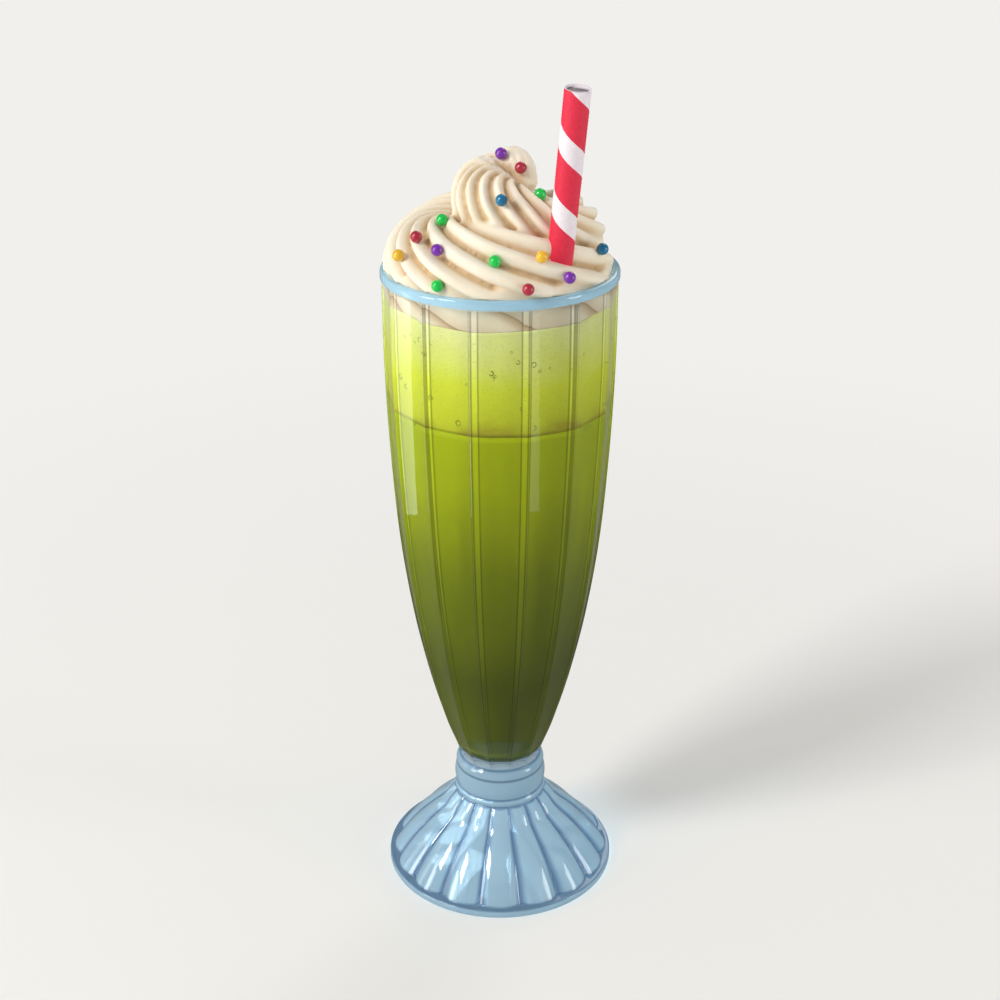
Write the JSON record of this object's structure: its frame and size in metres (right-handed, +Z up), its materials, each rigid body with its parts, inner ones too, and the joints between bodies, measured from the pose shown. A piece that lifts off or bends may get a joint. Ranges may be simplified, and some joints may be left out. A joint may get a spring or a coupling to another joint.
{
  "type": "matcha milkshake",
  "caption": "Matcha milkshake with a frothy layer, piped whipped cream and a paper straw, in a tall ribbed soda glass on a scalloped foot.",
  "frame": {"origin": "middle of the foot's underside", "axes": "+Z up the glass's axis, -Y the front, +X the side that the straw leans to"},
  "size_m": [0.0868, 0.0868, 0.306],
  "materials": {
    "glass": "pale blue clear pressed soda glass, fire polished",
    "shake": "thick dark matcha shake, wet and smooth",
    "foam": "pale matcha froth with small bubbles",
    "cream": "piped whipped cream, soft satin",
    "straw": "rolled paper with red and white spiral stripes"
  },
  "bodies": {
    "root": {"glass": "glass", "matcha_shake": "shake", "matcha_foam": "foam", "whipped_cream": "cream", "straw": "straw"}
  },
  "joints": []
}
